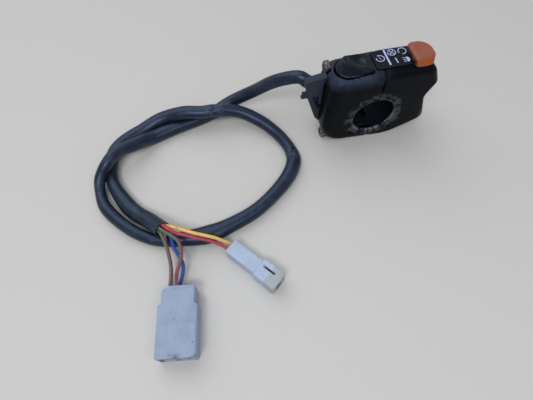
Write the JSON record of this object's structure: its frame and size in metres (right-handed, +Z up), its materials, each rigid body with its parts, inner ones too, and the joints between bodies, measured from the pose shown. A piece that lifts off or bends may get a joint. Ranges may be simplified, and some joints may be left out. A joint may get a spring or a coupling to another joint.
{
  "type": "handlebar switch cluster",
  "caption": "Split clamp housing for a motorcycle handlebar with a sprung starter button, a sliding engine kill knob and a looped wiring loom ending in nylon connectors.",
  "frame": {"origin": "on the axis of the handlebar bore, halfway along the bore", "axes": "+X from the bore towards the kill slider, +Y along the handlebar to the back of the housing, +Z up from the sole to the top face with the switches"},
  "size_m": [0.18, 0.1347, 0.05],
  "materials": {
    "housing_plastic": "satin black moulding, scuffed round the bore",
    "cover_plastic": "satin black moulding",
    "screw_steel": "zinc plated, dull and corroded",
    "small_screw_steel": "zinc plated",
    "insert_brass": "turned",
    "plate_plastic": "fine matt black with pale printed symbols",
    "grommet_rubber": "matt black",
    "button_plastic": "gloss black, worn",
    "spring_steel": "bright spring wire",
    "contact_brass": "stamped strip",
    "base_phenolic": "brown phenolic laminate",
    "knob_plastic": "orange moulding, slightly clear, faded",
    "carrier_plastic": "satin black moulding",
    "sleeve_vinyl": "soft satin vinyl sleeve",
    "yellow_insulation": "soft satin insulation",
    "red_insulation": "soft satin insulation",
    "green_insulation": "soft satin insulation, green with a red tracer",
    "blue_insulation": "soft satin insulation",
    "white_insulation": "soft satin insulation",
    "connector_nylon": "milky natural nylon, stained at the edges",
    "terminal_brass": "tinned strip, dull"
  },
  "bodies": {
    "housing": {"starter_half_shell": "housing_plastic", "kill_half_shell": "housing_plastic", "cable_cover": "cover_plastic", "clamp_screws": "screw_steel", "threaded_inserts": "insert_brass", "legend_plate": "plate_plastic", "cable_grommet": "grommet_rubber", "start_return_spring": "spring_steel", "start_contact_base": "base_phenolic", "start_fixed_contacts": "contact_brass", "start_base_screws": "small_screw_steel", "kill_detent_spring": "spring_steel", "kill_contact_base": "base_phenolic", "kill_fixed_contacts": "contact_brass", "kill_base_screws": "small_screw_steel", "inner_wire_yellow": "yellow_insulation", "inner_wire_red": "red_insulation", "inner_wire_blue": "blue_insulation", "inner_wire_green": "green_insulation", "loom_sleeve": "sleeve_vinyl", "wire_yellow": "yellow_insulation", "wire_red": "red_insulation", "wire_green_a": "green_insulation", "wire_green_b": "green_insulation", "wire_blue": "blue_insulation", "wire_white": "white_insulation", "main_connector_housing": "connector_nylon", "main_connector_terminals": "terminal_brass", "aux_connector_housing": "connector_nylon", "aux_connector_terminals": "terminal_brass"},
    "start_button": {"start_button": "button_plastic", "start_contact_bridge": "contact_brass"},
    "kill_slider": {"kill_knob": "knob_plastic", "kill_slider_carrier": "carrier_plastic", "kill_contact_wiper": "contact_brass"}
  },
  "joints": [
    {"name": "start_press", "type": "slide", "parent": "housing", "child": "start_button", "axis": [0, 0, -1], "range_m": [0, 0.0025], "stiffness_N_per_m": 600, "springref_m": -0.002, "deforming": ["start_return_spring"]},
    {"name": "kill_slide", "type": "slide", "parent": "housing", "child": "kill_slider", "axis": [-1, 0, 0], "range_m": [0, 0.005], "deforming": ["kill_detent_spring"]}
  ]
}
